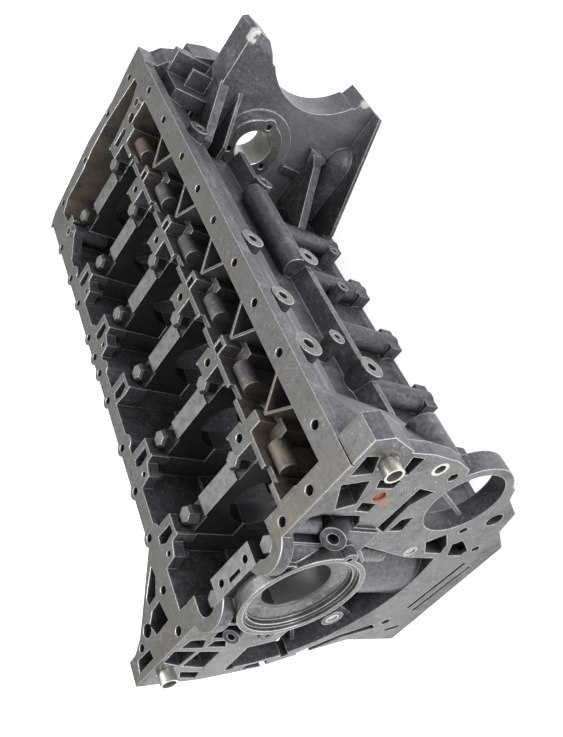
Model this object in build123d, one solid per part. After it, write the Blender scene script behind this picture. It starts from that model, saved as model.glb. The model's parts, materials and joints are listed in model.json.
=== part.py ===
from build123d import *
import math
import os

os.makedirs("parts", exist_ok=True)

# Millimetres. X runs from the gearbox flange along the crank, Z points up to the open crankcase and the
# origin is on the crank axis at the flange face. The block rests on its cylinder head face.

# Driving dimensions of the engine
CYLINDERS = 6
PITCH = 91.0
BORE_R = 42.0
LINER_WALL = 2.0
FIRST_BORE_X = 53.0
DECK_Z = -227.0
RAIL_Z = 66.0
RAIL_THICK = 12.0
FRONT_OVERHANG = 74.5
MAIN_R = 32.5
CRANK_CLEAR_R = 77.0

# Crankcase walls, all measured from the crank axis
LEFT_RAIL_Y = 95.0
LEFT_WALL_Y = 87.0
LEFT_INNER_Y = 79.0
RIGHT_RAIL_Y = -155.0
RIGHT_WALL_Y = -146.0
CHAMBER_OUTER_Y = -130.0
VALLEY_Y = -114.0
RIDGE_Y = -135.0
PARTITION_Y = -74.0
PARTITION_THICK = 5.0
BULKHEAD = 24.0
BULKHEAD_END_Y = -99.0
LAND_DEEP = 20.0
BAY_TOP_Z = -8.0
LINER_FOOT_Z = -66.0
LINER_FIT = 0.02
JACKET_WALL = 8.0

# Main bearing caps and their bolts
FIRST_CAP_X = 11.0
CAP_WIDTH = 22.0
CAP_HALF = 52.0
CAP_SEAT_Z = 46.0
CAP_PAD_Z = 48.5
CAP_PAD_HALF = 27.0
CAP_FIT = 0.05
FIRST_CAP_HALF = 28.5
BOLT_Y = 40.5
BOLT_SHANK_R = 6.0
BOLT_HOLE_PLAY = 0.3
BOLT_HEAD_R = 10.5
BOLT_HEAD_HIGH = 13.0
BOLT_LENGTH = 110.0
THREAD_FIT = 0.02

# Gearbox flange and rear seal hub
FLANGE_THICK = 14.0
BELL_END_X = 92.0
BELL_R = 150.0
BELL_FLOOR_X = 30.0
POCKET_FLOOR_X = 17.0
HUB_FACE_X = -14.0
HUB_R = 59.2
SEAL_R = 54.0
STARTER_Y = -128.0
STARTER_Z = -100.0
STARTER_R = 40.0
STARTER_WALL = 8.5
STARTER_DEEP = 20.0
PAD_X = 27.0
PAD_Y = (-156.0, -184.0)
DOWEL_Y = (146.0, -163.0)
DOWEL_Z = (48.0, 34.0)
DOWEL_R = 8.5
DOWEL_SEAT_R = 9.0
DOWEL_NECK = 0.5
DOWEL_BORE_R = 6.5
DOWEL_OUT = 12.0
DOWEL_IN = 12.0
RAIL_SLEEVE_R = 6.0
RAIL_SLEEVE_BORE_R = 4.5
RAIL_SLEEVE_OUT = 4.0
RAIL_SLEEVE_IN = 10.0
PLUG_R = 6.5
PLUG_DEEP = 8.0
HUB_PLUG = (35, -66)
FACE_PLUG = (-55, -99)
HUB_EARS = [(62, -6), (-58, -8)]
HUB_PORTS = [(-77, 11), (77, 8)]
PORT_Z = 16.0

# Front plate that carries the pump
PLATE_SETBACK = 3.5
PLATE_THICK = 42.0
PLATE_WALL = 8.0
PUMP_Y = -134.0
PUMP_Z = -90.0
PUMP_R = 24.0
PUMP_BOLTS_R = 32.5
SCALLOP_Y = -288.0
SCALLOP_Z = -120.0
SCALLOP_R = 84.0
CORE_R = 26.0
CORE_Y = -162.0

# Places along the crank that follow from the bores
BORE_X = [FIRST_BORE_X + PITCH * i for i in range(CYLINDERS)]
BEARING_X = [FIRST_CAP_X] + [x + PITCH / 2 for x in BORE_X]
LAST_X = BEARING_X[-1]
PLATE_X = LAST_X - PLATE_SETBACK
FRONT_X = LAST_X + FRONT_OVERHANG

# Bolts and bosses of the sump rail, as a bearing's number and the way from it, or as (x, y, radius)
LEFT_BOLT_Y = 90.5
RIGHT_BOLT_Y = -142.0
SUMP_BOLT_R = 4.3
LEFT_BOLTS = [(1, 8), (2, -28), (2, 27), (3, 2), (4, -48), (4, -23), (4, 9), (5, -23), (5, 23), (6, -8)]
RIGHT_BOLTS = [(1, -48), (1, 31), (2, 2), (3, -34), (3, 30), (4, -9), (5, -42), (5, 30), (6, 2)]
RAIL_COLUMN = (10, -72)
CORNER_HOLES = [
    (34, 132, 6.5), (25, 147, 4), (52, 93, 4.3), (26, 68, 4), (9, 89, 4.5), (12, -110, 4.5),
    (*RAIL_COLUMN, 4.5),
]
FRONT_HOLES = [
    (FRONT_X - 32, 96), (FRONT_X - 25, 61), (FRONT_X - 19, -4), (FRONT_X - 11, -70), (FRONT_X - 13, -124),
]
LEFT_BOLTS_X = [BEARING_X[i] + off for i, off in LEFT_BOLTS]
RIGHT_BOLTS_X = [BEARING_X[i] + off for i, off in RIGHT_BOLTS]
NOTCH_X = 9.0
NOTCH_Y = 43.0
NOTCH_R = 12.0
LOBE_R = 24.5
RAIL_SLEEVES = [(LAST_X + 6.5, -121), (LAST_X - 9.5, 63)]

# Side chamber and its oil gallery
CHAMBER_FLOOR_Z = -44.0
CHAMBER_END_X = PLATE_X + 2
GALLERY_R = 9.0
GALLERY_Y = -88.0
GALLERY_Z = 51.0
WINDOW_R = 8.0

# Right flank
COLUMN_R = 14.0
COLUMN_Y = -80.0
HIGH_BOSSES = [
    (BEARING_X[5] + 21, 28, 11), (BEARING_X[3], 38, 12), (BEARING_X[2] + 9, 38, 12),
    (BEARING_X[1] + 38, 38, 14),
]
LOW_BOSSES = [
    (BEARING_X[5] - 16, -60, 11), (BEARING_X[3] + 29, -60, 13), (BEARING_X[1] + 46, -58, 13),
    (BEARING_X[2] - 12, -30, 9),
]
SMALL_BOSSES = [(BEARING_X[5] - 36, -198), (BEARING_X[4] - 26, -168)]
BULGE_X = (BEARING_X[3] + 20, BEARING_X[5] - 26)
BULGE_R = 13.0
HEAD_BOLT_Y = 58.0
HEAD_BOLT_R = 5.5

# Fields and holes of the gearbox flange, as (y, z) seen from the gearbox
BAR_LOW_Z = -22.0
POCKETS = [
    [(128, 61), (108, 62), (110, 36), (136, 40)],
    [(137, 36), (111, 32), (113, 7), (143, 8)],
    [(148, 31), (151, 7), (163, 5), (160, 25)],
    [(104, 58), (90, 55), (90, 38), (105, 33)],
    [(103, 30), (93, 27), (93, 14), (105, 7)],
    [(88, 33), (62, 35), (62, 28), (64, 6), (88, 8)],
    [(-144, 58), (-167, 60), (-169, 48), (-150, 38)],
    [(-174, 15), (-174, 1), (-153, 1), (-153, 10)],
    [(-133, 58), (-142, 34), (-113, 24), (-104, 40)],
    [(-144, 25), (-147, 2), (-136, 2), (-134, 20)],
    [(-116, 20), (-116, 3), (-105, 3), (-105, 18)],
    [(-70, 58), (-92, 58), (-98, 48), (-98, 27), (-100, 8), (-91, 1), (-60, 1), (-60, 54)],
    [(-86, -25), (-140, -27), (-138, -48), (-118, -36), (-98, -36), (-80, -38)],
    [(-82, -42), (-99, -44), (-104, -55), (-84, -58)],
    [(-70, -106), (-84, -122), (-68, -139), (-54, -144), (-54, -121)],
    [(-51, -157), (-52, -177), (-61, -179), (-76, -155), (-69, -146)],
    [(154, -45), (145, -46), (137, -68), (148, -72)],
    [(126, -98), (93, -133), (74, -165), (82, -176), (99, -139), (132, -104)],
    [(49, -202), (-35, -210), (-35, -214), (49, -207)],
    [(44, -189), (-40, -195), (-40, -200), (44, -194)],
    [(92, -196), (85, -196), (76, -212), (84, -212)],
]
FLANGE_HOLES = [
    (148, -27, 4.5), (128, -83, 4.5), (70, -182, 5), (-158, -51, 5), (-91, -139, 4.5), (-64, -188, 4.5),
    (-110, -166, 9),
]
INSERT_Y = -165.0
INSERT_Z = -27.0
INSERT_R = 7.5
RUST_Y = -125.0
RUST_Z = 8.0
RUST_R = 6.0
RUST_SUNK = 2.0
RUST_DEEP = 16.0
INSERT_BORE_R = 5.0
INSERT_DEEP = 20.0

# Front wall and pump plate, as (y, z); the wall's plan, the shoulder and the gusset as (x, y)
FRONT = [
    (LEFT_RAIL_Y + 11, RAIL_Z), (-157, RAIL_Z), (-157, 50), (-167, 41), (-178, 15), (-187, 15), (-194, -8),
    (-195, -30), (-168, -58), (-98, -80), (-76, -104), (-76, DECK_Z), (90, DECK_Z), (90, -40),
]
FRONT_PLAN = [
    (FRONT_X - 26, LEFT_RAIL_Y), (FRONT_X - 31, 106), (FRONT_X - 18, 82), (FRONT_X - 2, -22),
    (FRONT_X - 4, -86), (FRONT_X + 3, -127), (FRONT_X + 6, -157), (FRONT_X + 6, -196),
    (FRONT_X - 28, -196), (FRONT_X - 28, 90),
]
PLATE = [
    (-60, -20), (-120, -20), (-186, -6), (-258, -6), (-262, -12), (-258, -30), (-247, -42), (-236, -50),
    (-225, -120), (-236, -190), (-252, -196), (-242, DECK_Z), (-60, DECK_Z),
]
PLATE_HOLLOW = [
    (-84, -30), (-122, -30), (-188, -16), (-246, -16), (-232, -50), (-222, -120), (-232, -190),
    (-234, -217), (-84, -217),
]
GUSSET = [
    (PLATE_X - 75, -96), (PLATE_X - 13, -243), (PLATE_X + 2, -243), (PLATE_X + 2, -70), (PLATE_X - 75, -70),
]


def across(points, x0, x1):
    """A (y, z) outline carried along the crank from x0 to x1."""
    return extrude(Plane.YZ.offset(x0) * Polygon(*points, align=None), x1 - x0, dir=(1, 0, 0))


def upright(points, z0, z1):
    """An (x, y) outline carried upwards from z0 to z1."""
    return extrude(Plane.XY.offset(z0) * Polygon(*points, align=None), z1 - z0, dir=(0, 0, 1))


def block(x0, x1, y0, y1, z0, z1):
    return Pos((x0 + x1) / 2, (y0 + y1) / 2, (z0 + z1) / 2) * Box(x1 - x0, y1 - y0, z1 - z0)


def rod_x(r, x0, x1, y, z):
    return Pos((x0 + x1) / 2, y, z) * Rot(0, 90, 0) * Cylinder(r, x1 - x0)


def rod_y(r, x, y0, y1, z):
    return Pos(x, (y0 + y1) / 2, z) * Rot(90, 0, 0) * Cylinder(r, y1 - y0)


def rod_z(r, x, y, z0, z1):
    return Pos(x, y, (z0 + z1) / 2) * Cylinder(r, z1 - z0)


# Outline of the engine across the crank, from the left rail down round the deck to the right rail
SECTION = [
    (LEFT_RAIL_Y, RAIL_Z), (LEFT_RAIL_Y, RAIL_Z - RAIL_THICK), (LEFT_WALL_Y, 46), (LEFT_WALL_Y, -30),
    (80, -70), (80, -205), (90, -215), (90, DECK_Z), (-76, DECK_Z), (-76, -215), (-70, -205),
    (-70, -104), (-92, -84), (-120, -66), (RIDGE_Y, -62), (RIDGE_Y, -55), (VALLEY_Y, -50), (VALLEY_Y, 0),
    (-138, 12), (RIGHT_WALL_Y, 46), (RIGHT_RAIL_Y, RAIL_Z - RAIL_THICK), (RIGHT_RAIL_Y, RAIL_Z),
]
CHAMBER = [
    (CHAMBER_OUTER_Y, RAIL_Z + 1), (CHAMBER_OUTER_Y, 22), (VALLEY_Y + 8, 8), (VALLEY_Y + 8, CHAMBER_FLOOR_Z),
    (BULKHEAD_END_Y, CHAMBER_FLOOR_Z), (BULKHEAD_END_Y, RAIL_Z + 1),
]

# Bay behind the last bearing: its trough as (y, z) and its mouth in plan as (x, y)
END_TROUGH = [(66, RAIL_Z + 1), (66, -20), (26, -56), (-26, -56), (-60, -20), (-60, RAIL_Z + 1)]
END_MOUTH = [
    (LAST_X + 12, 66), (FRONT_X - 40, 66), (FRONT_X - 30, 50), (FRONT_X - 28, 6), (FRONT_X - 21, -22),
    (FRONT_X - 19, -62), (LAST_X + 12, -62),
]
END_CORNER = [
    (LAST_X + 14, -60), (LAST_X + 24, -112), (FRONT_X - 40, -131), (FRONT_X - 27, -131), (FRONT_X - 19, -60),
]
LAST_WINDOW = [
    (LAST_X - 2, -64), (LAST_X + 8, -60), (LAST_X + 8, -84), (LAST_X + 3, -87), (LAST_X - 1, -84),
]
LAST_LEFT_LAND = [
    (LAST_X + 36, 66), (LAST_X + 36, 82), (LAST_X - 50, 82), (LAST_X - 36, 72), (LAST_X - 22, 62),
]

# Lands of a bulkhead, as (x, y) from its bearing: on the partition, and on the left rail with its window
RIGHT_LAND = [
    (-10, -50), (15, -50), (15, -72), (11, -73), (11, -93), (-2, -93), (-2, -79), (-37, -79), (-34, -74),
    (-10, -74),
]
LEFT_LAND = [(9, 50), (-15, 50), (-16, 60), (-13, 82), (9, 82)]
LEFT_WING = [(-12, 60), (-16, 60), (-30, 64), (-33, 82), (-12, 82)]
LEFT_WINDOW = [(0, 56), (-9, 56), (-12, 69), (-8, 78), (0, 77)]
RIGHT_WINDOW = [(0, -78), (8, -78), (8, -89), (0, -89)]
LAND_SCREW = (-23, 70)
PLAIN_LAND = 3

# Flange outline, and the two ends of the walls that flare out to it, point for point
FLANGE = [
    (171, RAIL_Z), (167, -2), (152, -62), (120, -119), (104, -152), (107, DECK_Z), (-69, DECK_Z), (-94, -194),
    (-122, -186), (-140, -155), (-155, -145), (-160, -131), (-150, -100), (-150, -72), (-170, -60),
    (-177, -38), (-180, -5), (-178, 16), (-179, 50), (-184, RAIL_Z),
]
FLARE_START = [
    (167, RAIL_Z), (163, -2), (148, -62), (116, -119), (100, -152), (102, DECK_Z), (-69, DECK_Z), (-78, -205),
    (-84, -150), (-90, -105), (-96, -66), (-128, -50), (-166, -48), (-175, -20), (-176, 34),
    (RIGHT_RAIL_Y, RAIL_Z),
]
FLARE_END = [
    (LEFT_WALL_Y, RAIL_Z), (LEFT_WALL_Y, 0), (84, -40), (80, -90), (80, -150), (85, DECK_Z), (-70, DECK_Z),
    (-70, -205), (-70, -150), (-70, -105), (-92, -84), (-118, -72), (-134, -60), (-140, -10),
    (RIGHT_WALL_Y, 40), (RIGHT_WALL_Y, RAIL_Z),
]


def circle_cut(r, points, x0, x1):
    """What of an outline lies inside a circle about the crank axis."""
    return rod_x(r, x0, x1, 0, 0) & across(points, x0, x1)


def flare():
    front = Plane.YZ.offset(FLANGE_THICK) * Polygon(*FLARE_START, align=None)
    back = Plane.YZ.offset(BELL_END_X) * Polygon(*FLARE_END, align=None)
    walls = loft([front, back], ruled=True)
    return walls + rod_x(16, FLANGE_THICK, BELL_END_X - 34, -157, -51)


def flange():
    """Mounting flange of the gearbox with the milled pad on its corner."""
    pad = [(PAD_Y[0], RAIL_Z), (PAD_Y[1], RAIL_Z), (PAD_Y[1] - 6, 50), (PAD_Y[1] + 4, 20), (PAD_Y[0], 20)]
    return across(FLANGE, 0, FLANGE_THICK) + across(pad, 0, PAD_X)


def rail_bosses():
    """Round shoulders of the sump rail at its bolts, and the flared corner at the gearbox flange."""
    corner = [(100, 90), (100, 95), (62, 124), (34, 146), (25, 160), (24, 171), (0, 171), (0, 90)]
    parts = upright(corner, RAIL_Z - RAIL_THICK, RAIL_Z)
    for x in LEFT_BOLTS_X:
        parts += rod_z(9, x, LEFT_BOLT_Y, RAIL_Z - RAIL_THICK, RAIL_Z)
    return parts


def front_end():
    """Wider wall at the far end, with a boxed-in shoulder beside the pump plate."""
    wall = across(FRONT, FRONT_X - 28, FRONT_X + 6) & upright(FRONT_PLAN, DECK_Z, RAIL_Z)
    shoulder = block(PLATE_X + 6, FRONT_X - 20, -186, -140, -20, 38)
    shoulder -= block(PLATE_X + 5, FRONT_X - 32, -187, -158, -8, 39)
    shoulder += block(PLATE_X + 26, PLATE_X + 30, -180, -157, -9, 20)
    return wall + shoulder


def plate():
    """Pump plate with its two arms; the far side is hollowed to an even wall, as a cover is."""
    x1 = PLATE_X + PLATE_THICK
    solid = across(PLATE, PLATE_X, x1)
    solid -= rod_x(SCALLOP_R, PLATE_X - 1, x1 + 1, SCALLOP_Y, SCALLOP_Z)
    hollow = across(PLATE_HOLLOW, PLATE_X + PLATE_WALL + 2, x1 + 1)
    hollow -= rod_x(SCALLOP_R + PLATE_WALL, PLATE_X, x1 + 2, SCALLOP_Y, SCALLOP_Z)
    hollow -= rod_x(PUMP_R + 9, PLATE_X, x1 + 2, PUMP_Y, PUMP_Z)
    solid -= hollow
    solid += upright(GUSSET, DECK_Z, DECK_Z + 5)
    solid += rod_x(PUMP_R + 15, PLATE_X - 4, PLATE_X + 2, PUMP_Y, PUMP_Z)
    solid += rod_x(PUMP_R + 28, PLATE_X - 2, PLATE_X + 2, PUMP_Y, PUMP_Z)
    for y, z in pump_bolts():
        solid += rod_x(11, PLATE_X - 4, PLATE_X + 2, y, z)
    return solid + plate_ribs()


def pump_bolts():
    turns = [math.radians(-175 + 120 * i) for i in range(3)]
    return [(PUMP_Y + PUMP_BOLTS_R * math.cos(a), PUMP_Z + PUMP_BOLTS_R * math.sin(a)) for a in turns]


def plate_ribs():
    """Gussets between the near face of the plate and the flank, and the round core pocket below them."""
    x = PLATE_X + 2
    pocket = rod_y(CORE_R, PLATE_X, CORE_Y, -80, DECK_Z) + Pos(PLATE_X, CORE_Y, DECK_Z) * Sphere(CORE_R)
    parts = pocket & block(x - 60, x, CORE_Y - 40, -80, DECK_Z, DECK_Z + 60)
    parts += upright([(x, -166), (x - 22, -152), (x - 74, -82), (x, -82)], -186, -174)
    parts += across([(-166, -167), (-162, -191), (-157, -199), (-148, -195), (-148, -172)], x - 8, x)
    parts += block(x - 6, x, -129, -119, -176, -146)
    for z, thick in ((-16, 12), (-38, 5)):
        parts += upright([(x, -192), (x - 36, -131), (x - 36, -100), (x, -100)], z, z + thick)
    return parts


def plate_holes():
    x0 = PLATE_X - 5
    x1 = PLATE_X + PLATE_THICK + 1
    cut = rod_x(PUMP_R, x0, x1, PUMP_Y, PUMP_Z)
    for y, z in pump_bolts():
        cut += rod_x(4, x0, x0 + 22, y, z)
    return cut


def flank():
    """Right side of the block: gallery bulge, bolt columns that reach the deck, and mounting bosses."""
    parts = rod_x(BULGE_R, *BULGE_X, -126, -48)
    for x in BEARING_X[1:-1]:
        parts += rod_z(COLUMN_R, x - 3, COLUMN_Y, DECK_Z, -80)
        parts += block(x - 21, x + 12, COLUMN_Y - 12, -60, DECK_Z, DECK_Z + 18)
    for x, z, r in HIGH_BOSSES:
        parts += rod_y(r, x, -154, -130, z)
    for x, z, r in LOW_BOSSES:
        parts += rod_y(r, x, -141, VALLEY_Y + 2, z)
    for x, z in SMALL_BOSSES:
        parts += rod_y(8, x, -100, -66, z)
    return parts


def flank_end():
    """The ridge and its valley stop short of the pump, so that its bolts can be reached."""
    return block(PLATE_X - 35, PLATE_X, RIDGE_Y - 25, VALLEY_Y + 14, -110, -8)


def flank_holes():
    cut = Part()
    for x, z, r in HIGH_BOSSES:
        cut += rod_y(r * 0.4, x, -155, -138, z)
    for x, z, r in LOW_BOSSES:
        cut += rod_y(r * 0.4, x, -142, -126, z)
    for x, z in SMALL_BOSSES:
        cut += rod_y(3.5, x, -101, -82, z)
    return cut


def tilted_rod(r, y, start, end):
    """Rod on the hub's shoulder that rises at 45 degrees, from one depth along its axis to another."""
    return Pos(0, y, PORT_Z) * Rot(0, -45, 0) * Pos(0, 0, (start + end) / 2) * Cylinder(r, start - end)


def hub():
    """Ring of the rear crank seal with its ears and ports, and the lobes of the rail round the first cap."""
    parts = rod_x(HUB_R, HUB_FACE_X, POCKET_FLOOR_X, 0, 0)
    parts += rod_x(11, HUB_FACE_X, POCKET_FLOOR_X, HUB_PLUG[0], HUB_PLUG[1])
    for y, z in HUB_EARS:
        parts += rod_x(8, HUB_FACE_X, POCKET_FLOOR_X, y, z)
    for y, r in HUB_PORTS:
        parts += tilted_rod(r, y, r - 0.2, -32)
    parts += across([(-84, 22), (-62, 20), (-56, -26), (-84, -26)], -4, POCKET_FLOOR_X)
    parts += rod_z(8, *RAIL_COLUMN, 30, RAIL_Z)
    for side in (-1, 1):
        y = side * NOTCH_Y
        parts += rod_z(LOBE_R, NOTCH_X, y, RAIL_Z - RAIL_THICK, RAIL_Z)
        parts += rod_z(NOTCH_R + 5, NOTCH_X, y, 20, RAIL_Z)
        parts += block(HUB_FACE_X + 2, 2, y - 1.5, y + 1.5, 30, RAIL_Z - 6)
    return parts


def hub_holes():
    cut = rod_x(PLUG_R, HUB_FACE_X - 1, HUB_FACE_X + PLUG_DEEP, HUB_PLUG[0], HUB_PLUG[1])
    cut += rod_x(PLUG_R, -1, PLUG_DEEP, FACE_PLUG[0], FACE_PLUG[1])
    for y, r in HUB_PORTS:
        cut += tilted_rod(r * 0.45, y, r + 1, -16)
    for y, z in HUB_EARS:
        cut += rod_x(3, HUB_FACE_X - 1, HUB_FACE_X + 10, y, z)
    return cut


def seal_bore():
    """Stepped seat of the crank seal, down to the main bore."""
    cut = rod_x(SEAL_R, HUB_FACE_X - 1, HUB_FACE_X + 4, 0, 0)
    cut += rod_x(SEAL_R - 5, HUB_FACE_X - 1, HUB_FACE_X + 9, 0, 0)
    cone = Pos(-3, 0, 0) * Rot(0, -90, 0) * Cone(36, SEAL_R - 7, 4)
    return cut + cone


def notches():
    """Slots of the rail round the first cap's bolts, open towards the crank."""
    cut = Part()
    for side in (-1, 1):
        y0 = side * NOTCH_Y - NOTCH_R
        cut += rod_z(NOTCH_R, NOTCH_X, side * NOTCH_Y, CAP_SEAT_Z, RAIL_Z + 1)
        cut += block(NOTCH_X, FIRST_CAP_X + BULKHEAD / 2, y0, y0 + 2 * NOTCH_R, CAP_SEAT_Z, RAIL_Z + 1)
    return cut


def crank_bays():
    """Round troughs for the crank, one a cylinder, under straight walls; bulkheads stop below the rail."""
    cut = Part()
    for i in range(CYLINDERS):
        x0 = BEARING_X[i] + BULKHEAD / 2
        x1 = BEARING_X[i + 1] - BULKHEAD / 2
        cut += rod_x(CRANK_CLEAR_R, x0, x1, 0, 0)
        cut += block(x0, x1, PARTITION_Y, LEFT_INNER_Y, BAY_TOP_Z, RAIL_Z + 1)
    cut += block(BEARING_X[1] - BULKHEAD, LAST_X, PARTITION_Y, LEFT_INNER_Y, RAIL_Z - LAND_DEEP, RAIL_Z + 1)
    mouth = upright(END_MOUTH, -60, RAIL_Z + 1) & across(END_TROUGH, LAST_X + 5, FRONT_X)
    return cut + mouth + upright(END_CORNER, -20, RAIL_Z + 1)


def side_chamber():
    """Trough between the crank bays and the outer wall; bulkheads run into it and ribs brace the rail."""
    x1 = CHAMBER_END_X
    cut = across(CHAMBER, 24, PLATE_X - 42)
    cut += block(PLATE_X - 44, x1, CHAMBER_OUTER_Y, BULKHEAD_END_Y, 6, RAIL_Z + 1)
    for i in range(CYLINDERS):
        x0 = BEARING_X[i] + BULKHEAD / 2 + 2
        x2 = BEARING_X[i + 1] - BULKHEAD / 2 - 2
        cut += block(x0, x2, BULKHEAD_END_Y - 1, PARTITION_Y - PARTITION_THICK, 6, RAIL_Z + 1)
    x0 = BEARING_X[1] - BULKHEAD
    y1 = PARTITION_Y - PARTITION_THICK
    return cut + block(x0, PLATE_X - 12, BULKHEAD_END_Y - 1, y1, RAIL_Z - LAND_DEEP, RAIL_Z + 1)


def chamber_ribs():
    """Thin ribs that spread from each bulkhead's end to the rail."""
    parts = Part()
    half = 1.6
    for x in BEARING_X[1:-1]:
        root = x + 3
        for reach in (-21, 22):
            edge = root + reach
            points = [(root - half, BULKHEAD_END_Y + 2), (root + half, BULKHEAD_END_Y + 2),
                      (edge + half, CHAMBER_OUTER_Y - 2), (edge - half, CHAMBER_OUTER_Y - 2)]
            parts += upright(points, 10, RAIL_Z - 4)
    return parts


def gallery():
    """Tube that runs along the chamber side of the partition, cut away beside each bulkhead."""
    parts = Part()
    for i in range(CYLINDERS):
        x1 = BEARING_X[i + 1]
        parts += rod_x(GALLERY_R, x1 - 49, x1 - 21, GALLERY_Y, GALLERY_Z)
        parts += block(x1 - 49, x1 - 21, PARTITION_Y - PARTITION_THICK - 10, PARTITION_Y - 1, 6, GALLERY_Z)
    return parts


def partition_holes():
    """Lowered stretch of each partition and the round windows beside the tube."""
    cut = Part()
    for i in range(CYLINDERS):
        x1 = BEARING_X[i + 1]
        y0 = PARTITION_Y - PARTITION_THICK - 1
        cut += block(x1 - 55, x1 - 38, y0, PARTITION_Y + 1, RAIL_Z - 6, RAIL_Z + 1)
        for x in (x1 - 60, x1 - 14):
            cut += rod_y(WINDOW_R, x, y0 - 3, PARTITION_Y + 1, 38)
    return cut


def moved(points, x):
    return [(x + px, y) for px, y in points]


def domed_boss(r, x, y, low):
    """Boss of a blind screw hole, hanging below the rail with a round end."""
    return rod_z(r, x, y, low, RAIL_Z) + Pos(x, y, low) * Sphere(r)


def bulkhead_lands():
    """Thin lands that carry the sump gasket over each bulkhead, and the bosses that hang below them."""
    low = RAIL_Z - LAND_DEEP - 2
    parts = rod_z(10, *RAIL_SLEEVES[1], 20, RAIL_Z)
    parts += upright(LAST_LEFT_LAND, RAIL_Z - RAIL_THICK, RAIL_Z)
    for i, x in enumerate(BEARING_X[1:], start=1):
        parts += upright(moved(RIGHT_LAND, x), low, RAIL_Z)
        if x < LAST_X:
            parts += upright(moved(LEFT_LAND, x), low, RAIL_Z)
        if x < LAST_X and i != PLAIN_LAND:
            parts += upright(moved(LEFT_WING, x), RAIL_Z - RAIL_THICK, RAIL_Z)
            parts += domed_boss(6, x + LAND_SCREW[0], LAND_SCREW[1], RAIL_Z - 16)
    for x in LEFT_BOLTS_X[::2]:
        parts += domed_boss(9, x, LEFT_INNER_Y + 3, RAIL_Z - 30)
    return parts


def land_holes():
    cut = Part()
    low = RAIL_Z - LAND_DEEP + 4
    for i, x in enumerate(BEARING_X[1:-1], start=1):
        cut += upright(moved(LEFT_WINDOW, x), low, RAIL_Z + 1)
        cut += rod_z(SUMP_BOLT_R, x + 3, -64, 20, RAIL_Z + 1)
        if i != PLAIN_LAND:
            cut += rod_z(3, x + LAND_SCREW[0], LAND_SCREW[1], RAIL_Z - 14, RAIL_Z + 1)
        if 1 < i:
            cut += upright(moved(RIGHT_WINDOW, x), low, RAIL_Z + 1)
    cut += upright(LAST_WINDOW, low, RAIL_Z + 1)
    cut += rod_z(6.5, LAST_X + 6, -101, 30, RAIL_Z + 1)
    for x, y in RAIL_SLEEVES:
        cut += rod_z(RAIL_SLEEVE_R, x, y, RAIL_Z - RAIL_SLEEVE_IN, RAIL_Z + 1)
    return cut


def main_line():
    """Main bearing line, the slots of the caps and their bolt holes."""
    cut = rod_x(MAIN_R, HUB_FACE_X + 8, LAST_X + BULKHEAD, 0, 0)
    for i, x in enumerate(BEARING_X):
        x0 = 0 if i == 0 else x - BULKHEAD / 2 - 0.5
        cut += block(x0, x + BULKHEAD / 2 + 0.5, -CAP_HALF, CAP_HALF, 0, RAIL_Z + 1)
        for y in (-BOLT_Y, BOLT_Y):
            cut += rod_z(BOLT_SHANK_R + THREAD_FIT, x, y, CAP_SEAT_Z - BOLT_LENGTH - 4, 1)
    return cut


def cylinders():
    cut = Part()
    for x in BORE_X:
        cut += rod_z(BORE_R + LINER_WALL + LINER_FIT, x, 0, DECK_Z - 1, -40)
    return cut


def deck_holes():
    """Cylinder head bolts and coolant passages of the deck."""
    cut = Part()
    for x in [FIRST_BORE_X - PITCH / 2] + [b + PITCH / 2 for b in BORE_X]:
        for y in (-HEAD_BOLT_Y, HEAD_BOLT_Y):
            cut += rod_z(HEAD_BOLT_R, x + 2, y, DECK_Z - 1, DECK_Z + 60)
    for x in BORE_X:
        for y in (-59, 59):
            cut += block(x - 14, x + 14, y - 3.5, y + 3.5, DECK_Z - 1, DECK_Z + 14)
    return cut


def rail_holes():
    cut = Part()
    for x in LEFT_BOLTS_X:
        cut += rod_z(SUMP_BOLT_R, x, LEFT_BOLT_Y, RAIL_Z - RAIL_THICK - 8, RAIL_Z + 1)
    for x in RIGHT_BOLTS_X:
        cut += rod_z(SUMP_BOLT_R, x, RIGHT_BOLT_Y, RAIL_Z - RAIL_THICK - 8, RAIL_Z + 1)
    for x, y in FRONT_HOLES:
        cut += rod_z(SUMP_BOLT_R, x, y, RAIL_Z - 30, RAIL_Z + 1)
    for x, y, r in CORNER_HOLES:
        cut += rod_z(r, x, y, RAIL_Z - 30, RAIL_Z + 1)
    cut += upright([(45, 117), (47, 103), (25, 98), (23, 120), (36, 126)], 0, RAIL_Z + 1)
    cut += upright([(18, 136), (8, 134), (7, 160), (18, 158)], 10, RAIL_Z + 1)
    cut += upright([(82, 100), (70, 98), (54, 106), (52, 120), (60, 120)], 10, RAIL_Z + 1)
    return cut


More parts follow.
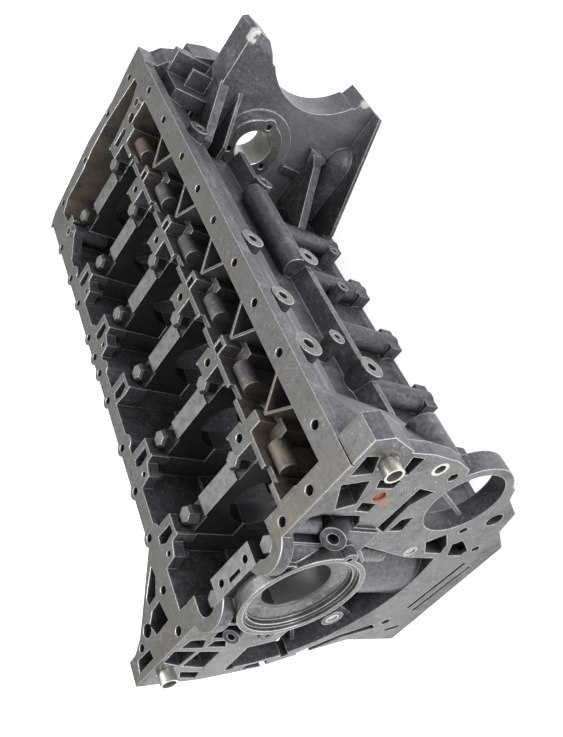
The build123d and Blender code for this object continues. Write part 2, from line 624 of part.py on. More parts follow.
def flange_pockets():
    """Hollow fields of the gearbox flange between its lands and ribs, round the first cylinder's jacket."""
    cut = Part()
    for points in POCKETS:
        cut += across(points, -1, POCKET_FLOOR_X)
    bell = circle_cut(BELL_R, [(160, BAR_LOW_Z), (-62, BAR_LOW_Z), (-46, -100), (-46, -160), (160, -160)],
                      -1, BELL_FLOOR_X)
    bell -= rod_x(HUB_R + 4, -2, BELL_FLOOR_X + 1, 0, 0)
    bell -= rod_x(CRANK_CLEAR_R + 8, POCKET_FLOOR_X, BELL_FLOOR_X + 1, 0, 0)
    bell -= rod_z(BORE_R + LINER_WALL + JACKET_WALL, FIRST_BORE_X, 0, DECK_Z, 0)
    for y in (-BOLT_Y, BOLT_Y):
        bell -= rod_z(BOLT_SHANK_R + 5, FIRST_CAP_X, y, CAP_SEAT_Z - BOLT_LENGTH - 10, 0)
    bell -= across([(110, -18), (60, -18), (70, -52), (98, -50)], -2, BELL_FLOOR_X + 1)
    for angle in (-38, -62):
        a = math.radians(angle)
        c = math.cos(a)
        s = math.sin(a)
        rib = [(50 * c - 2 * s, 50 * s + 2 * c), (160 * c - 2 * s, 160 * s + 2 * c),
               (160 * c + 2 * s, 160 * s - 2 * c), (50 * c + 2 * s, 50 * s - 2 * c)]
        bell -= across(rib, 12, BELL_FLOOR_X + 1)
    return cut + bell


def starter():
    """Short tube that the starter reaches through; the wall behind it is cut back."""
    return rod_x(STARTER_R + STARTER_WALL, 0, STARTER_DEEP, STARTER_Y, STARTER_Z)


def starter_bore():
    return rod_x(STARTER_R, -1, BELL_END_X, STARTER_Y, STARTER_Z)


def starter_ribs():
    thin = [(-143, -51), (-139, -51), (-104, -122), (-108, -122)]
    ring = rod_x(STARTER_R + 2, 6, FLANGE_THICK, STARTER_Y, STARTER_Z)
    return across(thin, 6, FLANGE_THICK) & ring


def flange_holes():
    cut = Part()
    for y, z, r in FLANGE_HOLES:
        cut += rod_x(r, -2, FLANGE_THICK + 6, y, z)
    for y, z in zip(DOWEL_Y, DOWEL_Z):
        cut += rod_x(DOWEL_SEAT_R, -1, DOWEL_IN, y, z)
    cut += rod_x(INSERT_R, -1, INSERT_DEEP, INSERT_Y, INSERT_Z)
    cut += rod_x(RUST_R, -1, RUST_DEEP, RUST_Y, RUST_Z)
    cut += block(-1, PAD_X, PAD_Y[0] - 0.5, PAD_Y[0] + 1, RAIL_Z - 3, RAIL_Z + 1)
    return cut


def casting():
    body = across(SECTION, FLANGE_THICK, FRONT_X - 26) + flange() + flare()
    body += rail_bosses() + flank()
    body -= flank_end()
    body += front_end() + plate()
    body -= flange_pockets()
    body += hub() + starter()
    body -= crank_bays() + side_chamber()
    body += chamber_ribs() + gallery() + bulkhead_lands()
    body -= partition_holes() + land_holes() + main_line() + cylinders() + deck_holes() + rail_holes()
    body -= notches() + seal_bore() + hub_holes() + starter_bore()
    body -= flange_holes() + plate_holes() + flank_holes()
    return body + starter_ribs()


def liner(x):
    r = BORE_R + LINER_WALL
    return rod_z(r, x, 0, DECK_Z, LINER_FOOT_Z) - rod_z(BORE_R, x, 0, DECK_Z - 1, LINER_FOOT_Z + 1)


def cap(x):
    """Main bearing cap: a bar over the crank with a milled pad between its two bolts."""
    half = CAP_HALF - CAP_FIT
    x0 = x - CAP_WIDTH / 2 + CAP_FIT
    x1 = x + CAP_WIDTH / 2
    bar = block(x0, x1, -half, half, 0, CAP_SEAT_Z)
    if x == FIRST_CAP_X:
        bar += block(x0, x1, -FIRST_CAP_HALF, FIRST_CAP_HALF, CAP_SEAT_Z, RAIL_Z)
        bar -= rod_z(3.5, x, -19, RAIL_Z - 18, RAIL_Z + 1) + rod_z(3.5, x, 17, RAIL_Z - 18, RAIL_Z + 1)
        bar -= block(x - 6, x - 2, -9, 7, RAIL_Z - 5, RAIL_Z + 1)
    else:
        bar += block(x0, x1, -CAP_PAD_HALF, CAP_PAD_HALF, CAP_SEAT_Z, CAP_PAD_Z)
    bar -= rod_x(MAIN_R, x0 - 1, x1 + 1, 0, 0)
    for y in (-BOLT_Y, BOLT_Y):
        bar -= rod_z(BOLT_SHANK_R + BOLT_HOLE_PLAY, x, y, -1, CAP_SEAT_Z + 1)
    return bar


def bolt(x, y):
    """Hexagon bolt with a domed head, screwed into the bulkhead below the cap."""
    hexagon = Pos(x, y, CAP_SEAT_Z) * RegularPolygon(BOLT_HEAD_R, 6)
    head = extrude(hexagon, BOLT_HEAD_HIGH - 3)
    top = Pos(0, 0, BOLT_HEAD_HIGH - 3) * hexagon
    shank = rod_z(BOLT_SHANK_R, x, y, CAP_SEAT_Z - BOLT_LENGTH, CAP_SEAT_Z + 1)
    return head + extrude(top, 3, taper=35) + shank


def sleeve_x(r, bore, x0, x1, y, z):
    return rod_x(r, x0, x1, y, z) - rod_x(bore, x0 - 1, x1 + 1, y, z)


def dowel_sleeve(y, z):
    """Hollow dowel: a wider seat in the flange, a fine neck at the face and a ground end that stands out."""
    outer = rod_x(DOWEL_R, -DOWEL_OUT, -DOWEL_NECK, y, z) + rod_x(DOWEL_R - DOWEL_NECK, -1, 1, y, z)
    outer += rod_x(DOWEL_SEAT_R, 0, DOWEL_IN, y, z)
    return outer - rod_x(DOWEL_BORE_R, -DOWEL_OUT - 1, DOWEL_IN + 1, y, z)


def plug(x, y, z):
    """Pressed-in core plug with a dished face."""
    return rod_x(PLUG_R, x, x + PLUG_DEEP, y, z) - rod_x(PLUG_R - 1.5, x - 1, x + 1, y, z)


nodes = {"crankcase_casting": casting()}
for i, x in enumerate(BORE_X, start=1):
    nodes[f"cylinder_liner_{i}"] = liner(x)
for i, x in enumerate(BEARING_X, start=1):
    nodes[f"main_cap_{i}"] = cap(x)
nodes["main_cap_bolts"] = Compound([bolt(x, y).solid() for x in BEARING_X for y in (-BOLT_Y, BOLT_Y)])
nodes["gearbox_dowel_sleeves"] = Compound([dowel_sleeve(y, z).solid() for y, z in zip(DOWEL_Y, DOWEL_Z)])
nodes["rail_dowel_sleeves"] = Compound(
    [(rod_z(RAIL_SLEEVE_R, x, y, RAIL_Z - RAIL_SLEEVE_IN, RAIL_Z + RAIL_SLEEVE_OUT)
      - rod_z(RAIL_SLEEVE_BORE_R, x, y, 0, RAIL_Z + 9)).solid() for x, y in RAIL_SLEEVES])
nodes["gallery_plugs"] = Compound([plug(HUB_FACE_X, *HUB_PLUG).solid(), plug(0, *FACE_PLUG).solid()])
nodes["screw_plug"] = rod_x(RUST_R, RUST_SUNK, RUST_DEEP, RUST_Y, RUST_Z)
nodes["threaded_insert"] = sleeve_x(INSERT_R, INSERT_BORE_R, 0, INSERT_DEEP, INSERT_Y, INSERT_Z)

for name, shape in nodes.items():
    export_step(shape, f"parts/{name}.step")
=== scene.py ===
import json

import bpy
from mathutils import Matrix, Vector

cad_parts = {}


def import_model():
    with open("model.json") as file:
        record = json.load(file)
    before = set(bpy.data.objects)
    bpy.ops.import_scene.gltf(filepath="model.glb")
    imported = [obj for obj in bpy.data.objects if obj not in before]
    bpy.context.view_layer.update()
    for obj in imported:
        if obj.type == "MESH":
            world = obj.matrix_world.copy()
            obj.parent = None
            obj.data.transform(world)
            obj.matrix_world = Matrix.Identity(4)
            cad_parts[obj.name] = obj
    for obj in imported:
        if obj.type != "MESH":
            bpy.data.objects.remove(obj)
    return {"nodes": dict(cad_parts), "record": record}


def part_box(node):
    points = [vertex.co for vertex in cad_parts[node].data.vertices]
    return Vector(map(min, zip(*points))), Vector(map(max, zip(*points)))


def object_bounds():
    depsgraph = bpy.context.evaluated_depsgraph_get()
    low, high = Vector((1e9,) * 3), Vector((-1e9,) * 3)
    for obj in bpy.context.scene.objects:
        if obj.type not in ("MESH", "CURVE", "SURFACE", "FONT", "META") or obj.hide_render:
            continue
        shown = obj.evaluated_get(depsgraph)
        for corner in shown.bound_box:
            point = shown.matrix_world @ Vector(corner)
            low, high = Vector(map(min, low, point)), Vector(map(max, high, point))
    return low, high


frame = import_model()
low_cad, high_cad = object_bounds()
nodes = frame["nodes"]

# Axes of the frame, and directions in it
X, Y, Z = 0, 1, 2
TO_GEARBOX = (-1, 0, 0)
TO_STARTER_SIDE = (0, -1, 0)
UP = (0, 0, 1)
DOWN = (0, 0, -1)

# Places that the materials are told apart by, in metres in the frame
MM = 0.001
RAIL_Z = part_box("main_cap_1")[1].z
CAP_PAD_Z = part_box("main_cap_2")[1].z
DECK_Z = low_cad.z
HUB_X = low_cad.x
CRANK_AXIS = (0, 0, 0)
BEARING_R = 32.5 * MM
SEAL_R = 54 * MM
PUMP_AT = (0, -134 * MM, -90 * MM)
PUMP_R = 24 * MM
PLATE_X = 546 * MM
ARM_TOP_Z = -6 * MM
ARM_TIP_Y = -244 * MM
FOOT_TIP = (550 * MM, -249 * MM, -199 * MM)
HIGH_BOSS_Y = -154 * MM
LOW_BOSS_Y = -141 * MM
FIRST_BAY_X = 24 * MM
FIRST_BORE_X = 53 * MM
PITCH = 91 * MM
LINER_R = 44 * MM
RUST_AT = (0, -125 * MM, 8 * MM)
RUST_RUN = (0, -118 * MM, -3 * MM)

# Camera of the photograph: how it stands in the frame, and its lens
CAMERA_AT = (-0.2897, -0.4552, 0.4968)
CAMERA_AXES = (
    (-0.3512, 0.7157, -0.6037),
    (-0.5642, -0.6763, -0.4736),
    (-0.7473, 0.1742, 0.6413),
)
LENS_MM = 52.3
SENSOR_MM = 36

# Light of the photograph: a white room, a broad lamp overhead and one at the starter side
FLOOR_HALF = 6.0
FLOOR_GLOW = 0.62
SKY_TINT = (0.95, 0.97, 1.0, 1)
SKY_LOW, SKY_HIGH = 0.25, 0.95
WHITE = (1, 1, 1, 1)


class Graph:
    """The nodes of one material, each made by one call that gives back its first output."""

    def __init__(self, name):
        self.material = bpy.data.materials.new(name)
        self.material.use_nodes = True
        self.tree = self.material.node_tree
        self.tree.nodes.clear()
        self.place = self.make("ShaderNodeTexCoord").outputs["Object"]
        self.geometry = self.make("ShaderNodeNewGeometry")
        self.normal = self.geometry.outputs["True Normal"]

    def make(self, kind, **settings):
        node = self.tree.nodes.new(kind)
        for name, value in settings.items():
            setattr(node, name, value)
        return node

    def put(self, socket, value):
        if isinstance(value, bpy.types.NodeSocket):
            self.tree.links.new(value, socket)
        else:
            socket.default_value = value

    def math(self, operation, a, b=0.0, c=0.0):
        node = self.make("ShaderNodeMath", operation=operation)
        self.put(node.inputs[0], a)
        self.put(node.inputs[1], b)
        self.put(node.inputs[2], c)
        return node.outputs[0]

    def times(self, first, *others):
        """Product of masks and shares."""
        product = first
        for factor in others:
            product = self.math("MULTIPLY", product, factor)
        return product

    def any_of(self, first, *others):
        """The largest of masks and shares."""
        largest = first
        for mask in others:
            largest = self.math("MAXIMUM", largest, mask)
        return largest

    def vector(self, operation, a, b=(0, 0, 0)):
        node = self.make("ShaderNodeVectorMath", operation=operation)
        self.put(node.inputs[0], a)
        self.put(node.inputs[1], b)
        scalar = operation in ("DOT_PRODUCT", "LENGTH", "DISTANCE")
        return node.outputs["Value" if scalar else "Vector"]

    def scaled(self, vector, factors):
        return self.vector("MULTIPLY", vector, factors)

    def step(self, value, low, high):
        """0 up to low, 1 from high and smooth between; low may be the larger one."""
        node = self.make("ShaderNodeMapRange", interpolation_type="SMOOTHSTEP")
        self.put(node.inputs["Value"], value)
        node.inputs["From Min"].default_value = low
        node.inputs["From Max"].default_value = high
        return node.outputs["Result"]

    def noise(self, scale, detail, rough, at=None):
        node = self.make("ShaderNodeTexNoise")
        self.put(node.inputs["Vector"], at or self.place)
        node.inputs["Scale"].default_value = scale
        node.inputs["Detail"].default_value = detail
        node.inputs["Roughness"].default_value = rough
        return node.outputs["Fac"]

    def lines(self, scale, direction, distort):
        node = self.make("ShaderNodeTexWave", bands_direction=direction)
        self.put(node.inputs["Vector"], self.place)
        node.inputs["Scale"].default_value = scale
        node.inputs["Distortion"].default_value = distort
        node.inputs["Detail"].default_value = 3
        return node.outputs["Fac"]

    def blend(self, share, a, b):
        """Colour a where the share is 0 and b where it is 1."""
        node = self.make("ShaderNodeMix", data_type="RGBA")
        self.put(node.inputs["Factor"], share)
        self.put(node.inputs[6], a)
        self.put(node.inputs[7], b)
        return node.outputs[2]

    def between(self, share, a, b):
        """Value a where the share is 0 and b where it is 1."""
        node = self.make("ShaderNodeMix", data_type="FLOAT")
        self.put(node.inputs["Factor"], share)
        self.put(node.inputs[2], a)
        self.put(node.inputs[3], b)
        return node.outputs[0]

    def coordinate(self, axis):
        node = self.make("ShaderNodeSeparateXYZ")
        self.put(node.inputs[0], self.place)
        return node.outputs[axis]

    def facing(self, direction):
        """1 where the surface looks along a direction."""
        return self.step(self.vector("DOT_PRODUCT", self.normal, direction), 0.95, 0.98)

    def level(self, axis, value, tolerance=0.6 * MM):
        """1 where a coordinate is within a tolerance of a value."""
        away = self.math("ABSOLUTE", self.math("SUBTRACT", self.coordinate(axis), value))
        return self.step(away, tolerance * 1.3, tolerance)

    def flat(self, axis, value, direction):
        """1 on the plane at a value of an axis, where it looks along a direction."""
        return self.times(self.facing(direction), self.level(axis, value))

    def within(self, axis, rise, fall):
        """1 between two soft borders, each a low and a high value in metres."""
        value = self.coordinate(axis)
        return self.times(self.step(value, *rise), self.step(value, fall[1], fall[0]))

    def round_wall(self, along, centre, radius, slack=1.0 * MM):
        """1 within a slack of a cylinder about an axis through a point."""
        keep = tuple(0.0 if axis == along else 1.0 for axis in (X, Y, Z))
        spoke = self.scaled(self.vector("SUBTRACT", self.place, centre), keep)
        away = self.math("ABSOLUTE", self.math("SUBTRACT", self.vector("LENGTH", spoke), radius))
        return self.step(away, slack * 1.3, slack)

    def near(self, point, radius, soft):
        """1 within a radius of a point, fading over a soft rim."""
        return self.step(self.vector("DISTANCE", self.place, point), radius + soft, radius)

    def rounded(self, radius, samples=8):
        """Normal of the surface with its edges and corners rounded."""
        bevel = self.make("ShaderNodeBevel", samples=samples)
        bevel.inputs["Radius"].default_value = radius
        return bevel.outputs[0]

    def edge(self, radius):
        """1 along sharp edges, from how far a rounded edge would turn the normal."""
        turned = self.vector("DOT_PRODUCT", self.rounded(radius, 6), self.geometry.outputs["Normal"])
        return self.step(turned, 0.985, 0.80)

    def shade(self, distance, samples=6):
        """1 in the open and less in corners and holes."""
        node = self.make("ShaderNodeAmbientOcclusion", samples=samples)
        node.inputs["Distance"].default_value = distance
        return node.outputs["AO"]

    def finish(self, colour, roughness, metallic, height, depth, normal=None):
        """Closes the graph: height is carved depth metres deep."""
        shader = self.make("ShaderNodeBsdfPrincipled")
        self.put(shader.inputs["Base Color"], colour)
        self.put(shader.inputs["Roughness"], roughness)
        self.put(shader.inputs["Metallic"], metallic)
        bump = self.make("ShaderNodeBump")
        bump.inputs["Distance"].default_value = depth
        self.put(bump.inputs["Height"], height)
        if normal:
            self.put(bump.inputs["Normal"], normal)
        self.put(shader.inputs["Normal"], bump.outputs[0])
        output = self.make("ShaderNodeOutputMaterial")
        self.tree.links.new(shader.outputs[0], output.inputs["Surface"])
        return self.material


def milled(g):
    """Height of a cut face: broken, wandering lines left by old gaskets, and fine scratches both ways."""
    field = g.math("ADD", g.noise(7, 2, 0.4), g.times(g.noise(150, 2, 0.5), 0.006))
    swirl = g.math("SINE", g.times(field, 820))
    broken = g.step(g.noise(38, 3, 0.6), 0.46, 0.64)
    swirl = g.math("MULTIPLY_ADD", g.times(swirl, broken), 0.5, 0.5)
    along = g.noise(500, 4, 0.7, g.scaled(g.place, (0.12, 1.0, 1.0)))
    across = g.noise(650, 4, 0.7, g.scaled(g.place, (1.0, 0.15, 0.15)))
    return g.between(0.16, g.between(0.5, along, across), swirl)


def machined_faces(g):
    """1 on the flat faces of the casting, and in its seal seat, where a cutter has passed."""
    seal = g.times(g.near((HUB_X, 0, 0), SEAL_R + 6 * MM, 0.5 * MM), g.step(g.coordinate(X), 1 * MM, 0))
    return g.any_of(
        g.flat(Z, RAIL_Z, UP),
        g.flat(Z, DECK_Z, DOWN),
        g.flat(X, 0.0, TO_GEARBOX),
        seal,
        g.flat(X, PLATE_X, TO_GEARBOX),
        g.flat(Y, HIGH_BOSS_Y, TO_STARTER_SIDE),
        g.flat(Y, LOW_BOSS_Y, TO_STARTER_SIDE),
    )


def pump_bore(g):
    """1 in the bore through the pump plate."""
    past_face = g.step(g.coordinate(X), PLATE_X - 5 * MM, PLATE_X - 3 * MM)
    return g.times(g.round_wall(X, PUMP_AT, PUMP_R), past_face)


def bore_wall(g):
    """1 inside the cylinder bores, whichever of the six is nearest."""
    along = g.math("SUBTRACT", g.coordinate(X), FIRST_BORE_X - PITCH / 2)
    along = g.math("SUBTRACT", g.math("FLOORED_MODULO", along, PITCH), PITCH / 2)
    away = g.math("SQRT", g.math("ADD", g.math("POWER", along, 2), g.math("POWER", g.coordinate(Y), 2)))
    inside = g.step(away, LINER_R + 0.8 * MM, LINER_R + 0.4 * MM)
    past_flange = g.step(g.coordinate(X), FIRST_BAY_X - 0.5 * MM, FIRST_BAY_X + 0.5 * MM)
    return g.times(inside, past_flange, g.step(g.coordinate(Z), -20 * MM, -34 * MM))


def oil_stain(g):
    """1 where old oil has dried: in the side chamber, and on the walls of the bay at the far end."""
    x = g.coordinate(X)
    chamber = g.within(Y, (-134 * MM, -129 * MM), (-78 * MM, -68 * MM))
    chamber = g.times(chamber, g.step(x, FIRST_BAY_X - 1.5 * MM, FIRST_BAY_X + 0.5 * MM))
    at_both_ends = g.any_of(g.step(x, 240 * MM, 80 * MM), g.step(x, 440 * MM, 540 * MM), 0.35)
    far_bay = g.within(X, (552 * MM, 572 * MM), (611 * MM, 614 * MM))
    far_bay = g.times(far_bay, g.step(g.coordinate(Y), -133 * MM, -131 * MM))
    below_rail = g.within(Z, (-45 * MM, -10 * MM), (RAIL_Z - 1.5 * MM, RAIL_Z - 0.2 * MM))
    patchy = g.step(g.noise(34, 5, 0.65), 0.38, 0.56)
    return g.times(g.any_of(g.times(chamber, at_both_ends), far_bay), below_rail, patchy)


def cast_skin(g, patches, skin, flecks):
    """Dark sand-cast skin with pale smears, and painted light on the low part of the pump plate."""
    smear = g.noise(45, 5, 0.65, g.scaled(g.place, (1.0, 1.0, 0.3)))
    lit_low_plate = g.step(g.coordinate(X), PLATE_X - 11 * MM, PLATE_X - 1 * MM)
    lit_low_plate = g.times(lit_low_plate, g.step(g.coordinate(Z), -50 * MM, -130 * MM))
    colour = g.blend(patches, (0.042, 0.044, 0.050, 1), (0.098, 0.101, 0.112, 1))
    colour = g.blend(g.step(smear, 0.50, 0.68), colour, (0.150, 0.153, 0.163, 1))
    colour = g.blend(g.times(g.step(skin, 0.46, 0.70), 0.28), colour, (0.19, 0.19, 0.195, 1))
    colour = g.blend(g.times(g.step(skin, 0.50, 0.34), 0.45), colour, (0.020, 0.021, 0.024, 1))
    # painted light: the low part of the pump plate is lightened
    colour = g.blend(g.times(lit_low_plate, 0.35), colour, (0.20, 0.203, 0.217, 1))
    return g.blend(g.times(flecks, 0.40), colour, (0.30, 0.30, 0.305, 1))


def cut_face(g, marks, stain, flecks):
    """Grey cut metal with dark and light cutter marks, old stains and a warm tinge on the rail, painted
    light on faces that look up and painted shade on faces that look toward the gearbox.
    """
    spots = g.step(g.noise(120, 4, 0.6), 0.55, 0.70)
    rail_side = g.facing(UP)
    warm = g.times(rail_side, g.step(g.noise(24, 6, 0.75), 0.46, 0.60))
    colour = g.blend(g.noise(55, 5, 0.75), (0.065, 0.065, 0.062, 1), (0.230, 0.228, 0.218, 1))
    colour = g.blend(g.times(g.step(marks, 0.50, 0.38), 0.55), colour, (0.060, 0.059, 0.055, 1))
    colour = g.blend(g.times(stain, 0.55), colour, (0.070, 0.068, 0.062, 1))
    colour = g.blend(g.times(spots, 0.7), colour, (0.040, 0.039, 0.036, 1))
    # painted shade: cut faces that look toward the gearbox end are darkened
    colour = g.blend(g.times(g.facing(TO_GEARBOX), 0.38), colour, (0.055, 0.055, 0.053, 1))
    # painted light: cut faces that look up are lightened
    colour = g.blend(g.times(rail_side, 0.22), colour, (0.34, 0.33, 0.31, 1))
    colour = g.blend(g.times(flecks, 0.45), colour, (0.40, 0.395, 0.38, 1))
    colour = g.blend(g.times(g.step(marks, 0.54, 0.66), 0.50), colour, (0.36, 0.355, 0.34, 1))
    return g.blend(g.times(warm, 0.45), colour, (0.175, 0.148, 0.112, 1))


def worn_and_highlit_edges(g, skin, cast, cut):
    """Both colours with light corners, partly worn metal and partly painted highlight: a soft broad line,
    and a thin bright one inside it.
    """
    broad = g.edge(1.8 * MM)
    thin = g.times(g.edge(0.7 * MM), g.step(skin, 0.38, 0.62))
    cast = g.blend(g.times(broad, g.between(skin, 0.5, 1.0)), cast, (0.62, 0.62, 0.61, 1))
    cast = g.blend(thin, cast, (0.80, 0.80, 0.79, 1))
    cut = g.blend(g.times(broad, 0.95), cut, (0.66, 0.655, 0.64, 1))
    cut = g.blend(thin, cut, (0.84, 0.835, 0.82, 1))
    return cast, cut


def shaded_and_oil_stained(g, colour):
    """Painted shade in the crevices and deeper down in the block, and tan oil stains over it."""
    # painted shade: near black in narrow crevices and in hollows, stronger towards the bottom of the
    # block
    crevice = g.times(g.step(g.shade(7 * MM, 5), 0.80, 0.35), 0.65)
    deep = g.between(g.step(g.coordinate(Z), -30 * MM, -110 * MM), 0.50, 0.80)
    painted_shade = g.any_of(g.times(g.step(g.shade(60 * MM), 0.60, 0.14), deep), crevice)
    colour = g.blend(painted_shade, colour, (0.013, 0.013, 0.016, 1))
    tan = g.blend(g.noise(80, 5, 0.7), (0.075, 0.050, 0.030, 1), (0.26, 0.205, 0.145, 1))
    high = g.step(g.coordinate(Z), -10 * MM, 45 * MM)
    return g.blend(g.times(oil_stain(g), g.between(high, 0.25, 0.80)), colour, tan)


def worn(g, colour):
    """Bare metal on the tips of the arm and the foot, and rust round the screw plug."""
    arm = g.times(g.step(g.coordinate(Y), ARM_TIP_Y, ARM_TIP_Y - 3.5 * MM), g.level(Z, ARM_TOP_Z, 7 * MM))
    arm = g.times(arm, g.step(g.coordinate(X), PLATE_X + 16 * MM, PLATE_X + 10 * MM))
    foot = g.times(g.near(FOOT_TIP, 5 * MM, 4 * MM), 0.8)
    bare = g.times(g.any_of(arm, foot), g.step(g.noise(150, 4, 0.6), 0.36, 0.46))
    colour = g.blend(bare, colour, (0.60, 0.59, 0.55, 1))
    rust = g.any_of(g.near(RUST_AT, 6.5 * MM, 2 * MM), g.near(RUST_RUN, 3.5 * MM, 4 * MM))
    rust = g.times(rust, g.step(g.noise(260, 4, 0.7), 0.36, 0.50))
    return g.blend(g.times(rust, 0.9), colour, (0.25, 0.095, 0.038, 1))


def cast_alloy():
    """The casting: its skin, its cut faces, its bores, what dirt and wear did to them, and painted light
    and shade on them.
    """
    g = Graph("cast_alloy")
    machined = machined_faces(g)
    bright = pump_bore(g)
    patches = g.noise(16, 4, 0.55)
    skin = g.noise(260, 5, 0.6)
    flecks = g.step(g.noise(210, 4, 0.65), 0.57, 0.70)
    stain = g.step(g.noise(20, 5, 0.65), 0.48, 0.66)
    marks = milled(g)

    cast = cast_skin(g, patches, skin, flecks)
    cut = cut_face(g, marks, stain, flecks)
    # light edges on both colours: partly worn metal, partly painted highlight
    cast, cut = worn_and_highlit_edges(g, skin, cast, cut)
    colour = g.blend(machined, cast, cut)
    colour = g.blend(bright, colour, (0.55, 0.53, 0.47, 1))
    bearing = g.round_wall(X, CRANK_AXIS, BEARING_R)
    colour = g.blend(g.times(bearing, 0.8), colour, (0.11, 0.108, 0.10, 1))
    # painted shade: near black inside the cylinder bores, below the rail
    colour = g.blend(g.times(bore_wall(g), 0.9), colour, (0.012, 0.012, 0.013, 1))
    # painted shade in crevices and hollows, real oil stains over it, then wear and rust
    colour = worn(g, shaded_and_oil_stained(g, colour))

    shiny = g.any_of(machined, bright)
    roughness = g.between(shiny, g.between(patches, 0.36, 0.54), g.between(stain, 0.30, 0.46))
    grain = g.between(0.45, g.noise(1100, 4, 0.6), skin)
    height = g.between(shiny, grain, g.times(marks, 0.4))
    metallic = g.between(shiny, 0.45, 0.75)
    return g.finish(colour, roughness, metallic, height, 0.35 * MM, g.rounded(2.6 * MM))


def steel(name, dark, light, rough):
    """Plain metal with a fine grain, uneven tone, bright edges that are partly worn metal and partly
    painted highlight, and painted shade in corners.
    """
    g = Graph(name)
    tone = g.noise(90, 5, 0.65)
    grain = g.noise(700, 4, 0.6)
    colour = g.blend(tone, dark, light)
    # bright edges: partly worn metal, partly painted highlight
    colour = g.blend(g.times(g.edge(0.6 * MM), g.step(grain, 0.3, 0.6)), colour, (0.6, 0.6, 0.58, 1))
    # painted shade: darker in corners and holes
    painted_shade = g.times(g.step(g.shade(8 * MM), 0.6, 0.15), 0.7)
    colour = g.blend(painted_shade, colour, (0.012, 0.012, 0.012, 1))
    return g.finish(colour, g.between(tone, rough, rough + 0.18), 0.9, grain, 0.12 * MM)


def bolt_steel():
    """Oiled dark flats under a lighter crown where the head looks up, partly rubbed metal and partly
    painted highlight.
    """
    g = Graph("bolt_steel")
    tone = g.noise(130, 5, 0.65)
    # crown: faces that look up, painted lighter, partly rubbed metal and partly painted highlight
    crown = g.step(g.vector("DOT_PRODUCT", g.normal, UP), 0.55, 0.95)
    crown_wear_and_highlight = g.blend(g.noise(240, 4, 0.6), (0.20, 0.196, 0.185, 1), (0.42, 0.41, 0.39, 1))
    colour = g.blend(tone, (0.035, 0.034, 0.033, 1), (0.12, 0.117, 0.112, 1))
    colour = g.blend(g.times(crown, g.between(tone, 0.55, 1.0)), colour, crown_wear_and_highlight)
    # bright edges: partly worn metal, partly painted highlight
    colour = g.blend(g.times(g.edge(0.8 * MM), 0.8), colour, (0.50, 0.49, 0.47, 1))
    grain = g.noise(500, 4, 0.6)
    return g.finish(colour, g.between(tone, 0.25, 0.45), 0.8, grain, 0.15 * MM, g.rounded(1.2 * MM))


def cap_iron():
    """Dark cast sides with milled pads that show the cutter's passes along the crank."""
    g = Graph("cap_iron")
    pad = g.any_of(g.flat(Z, CAP_PAD_Z, UP), g.flat(Z, RAIL_Z, UP))
    passes = g.lines(130, "Y", 3)
    tone = g.noise(55, 5, 0.65)
    smudge = g.step(g.noise(120, 5, 0.7), 0.45, 0.62)
    dark = g.blend(tone, (0.03, 0.03, 0.032, 1), (0.10, 0.10, 0.102, 1))
    light = g.blend(tone, (0.12, 0.119, 0.112, 1), (0.36, 0.355, 0.335, 1))
    light = g.blend(g.times(g.step(passes, 0.6, 0.9), 0.3), light, (0.45, 0.44, 0.42, 1))
    light = g.blend(g.times(smudge, 0.4), light, (0.08, 0.078, 0.072, 1))
    colour = g.blend(pad, dark, light)
    # bright edges: partly worn metal, partly painted highlight
    colour = g.blend(g.times(g.edge(0.9 * MM), 0.8), colour, (0.50, 0.49, 0.47, 1))
    height = g.between(pad, g.noise(600, 4, 0.6), g.times(passes, 0.25))
    return g.finish(colour, g.between(tone, 0.3, 0.5), 0.75, height, 0.2 * MM, g.rounded(0.9 * MM))


def liner_iron():
    """Honed bore painted near black, partly a film of old oil and partly painted shade: fine scratches at
    a slant, lighter at the open rim, partly worn metal and partly painted highlight.
    """
    g = Graph("liner_iron")
    slant = g.make("ShaderNodeMapping")
    g.put(slant.inputs["Vector"], g.place)
    slant.inputs["Rotation"].default_value = (0.5, 0.5, 0)
    hone = g.noise(500, 4, 0.7, g.scaled(slant.outputs[0], (1, 1, 12)))
    # near black: partly old oil, partly painted shade of the deep bore
    colour = g.blend(hone, (0.010, 0.010, 0.011, 1), (0.030, 0.030, 0.032, 1))
    # lighter rim and edges: partly worn metal, partly painted highlight
    colour = g.blend(g.edge(0.8 * MM), colour, (0.16, 0.16, 0.155, 1))
    return g.finish(colour, g.between(hone, 0.40, 0.60), 0.5, hone, 0.05 * MM)


def rusty_steel():
    """Brown and orange crust."""
    g = Graph("rusty_steel")
    crust = g.noise(320, 6, 0.7)
    colour = g.blend(crust, (0.10, 0.028, 0.010, 1), (0.46, 0.17, 0.06, 1))
    return g.finish(colour, g.between(crust, 0.7, 0.95), 0.1, crust, 0.5 * MM)


def dress_nodes():
    """Puts a material on every node, by the slot that the record gives it."""
    materials = {
        "cast_alloy": cast_alloy(),
        "liner_iron": liner_iron(),
        "cap_iron": cap_iron(),
        "bolt_steel": bolt_steel(),
        "sleeve_steel": steel("sleeve_steel", (0.38, 0.36, 0.32, 1), (0.68, 0.66, 0.62, 1), 0.25),
        "plug_alloy": steel("plug_alloy", (0.30, 0.29, 0.27, 1), (0.52, 0.51, 0.48, 1), 0.35),
        "rusty_steel": rusty_steel(),
    }
    for part in frame["record"]["subparts"]:
        mesh = nodes[part["node"]].data
        for i in range(len(mesh.materials)):
            mesh.materials[i] = materials[part["material_slot"]]


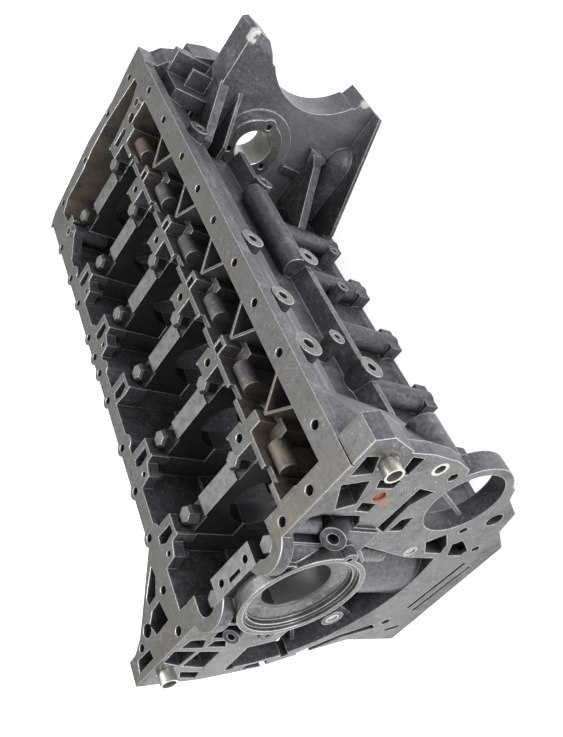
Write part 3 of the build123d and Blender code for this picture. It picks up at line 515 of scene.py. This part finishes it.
def white_floor():
    """White table under the block that fades to the backdrop and keeps a faint soft shadow."""
    mesh = bpy.data.meshes.new("floor")
    signs = ((-1, -1), (1, -1), (1, 1), (-1, 1))
    corners = [(FLOOR_HALF * across, FLOOR_HALF * along, DECK_Z) for across, along in signs]
    mesh.from_pydata(corners, [], [(0, 1, 2, 3)])
    floor = bpy.data.objects.new("floor", mesh)
    bpy.context.scene.collection.objects.link(floor)
    g = Graph("floor_white")
    shader = g.make("ShaderNodeBsdfPrincipled")
    tone = g.blend(g.noise(3, 2, 0.5), (0.90, 0.90, 0.90, 1), (0.92, 0.92, 0.92, 1))
    g.put(shader.inputs["Base Color"], tone)
    shader.inputs["Roughness"].default_value = 0.9
    shader.inputs["Emission Color"].default_value = WHITE
    shader.inputs["Emission Strength"].default_value = FLOOR_GLOW
    output = g.make("ShaderNodeOutputMaterial")
    g.tree.links.new(shader.outputs[0], output.inputs["Surface"])
    mesh.materials.append(g.material)


def world():
    """White to the camera; a soft grey sky, brighter overhead, for everything else."""
    made = bpy.data.worlds.new("studio")
    bpy.context.scene.world = made
    made.use_nodes = True
    tree = made.node_tree
    tree.nodes.clear()
    make, link = tree.nodes.new, tree.links.new
    place = make("ShaderNodeTexCoord")
    split = make("ShaderNodeSeparateXYZ")
    link(place.outputs["Generated"], split.inputs[0])
    rise = make("ShaderNodeMapRange")
    link(split.outputs[Z], rise.inputs["Value"])
    rise.inputs["From Min"].default_value = -0.3
    rise.inputs["To Min"].default_value = SKY_LOW
    rise.inputs["To Max"].default_value = SKY_HIGH
    sky = make("ShaderNodeBackground")
    sky.inputs["Color"].default_value = SKY_TINT
    link(rise.outputs[0], sky.inputs["Strength"])
    white = make("ShaderNodeBackground")
    white.inputs["Color"].default_value = WHITE
    ray = make("ShaderNodeLightPath")
    choose = make("ShaderNodeMixShader")
    link(ray.outputs["Is Camera Ray"], choose.inputs[0])
    link(sky.outputs[0], choose.inputs[1])
    link(white.outputs[0], choose.inputs[2])
    link(choose.outputs[0], make("ShaderNodeOutputWorld").inputs["Surface"])


def lamp(name, at, size, power):
    """Round area lamp that looks at the middle of the block."""
    middle = (low_cad + high_cad) / 2
    data = bpy.data.lights.new(name, "AREA")
    data.shape = "DISK"
    data.size = size
    data.energy = power
    made = bpy.data.objects.new(name, data)
    bpy.context.scene.collection.objects.link(made)
    made.location = at
    made.rotation_mode = "QUATERNION"
    made.rotation_quaternion = (middle - Vector(at)).to_track_quat("-Z", "Y")


def camera():
    data = bpy.data.cameras.new("camera")
    data.lens = LENS_MM
    data.sensor_width = SENSOR_MM
    data.sensor_fit = "HORIZONTAL"
    made = bpy.data.objects.new("camera", data)
    bpy.context.scene.collection.objects.link(made)
    rows = [list(axes) + [at] for axes, at in zip(CAMERA_AXES, CAMERA_AT)]
    made.matrix_world = Matrix(rows + [[0, 0, 0, 1]])
    bpy.context.scene.camera = made


dress_nodes()
white_floor()
world()
lamp("overhead", at=(0.1, 0.2, 1.5), size=0.9, power=20)
lamp("side", at=(-0.5, -1.4, 0.3), size=0.7, power=13)
camera()

bpy.context.scene.view_settings.view_transform = "Standard"
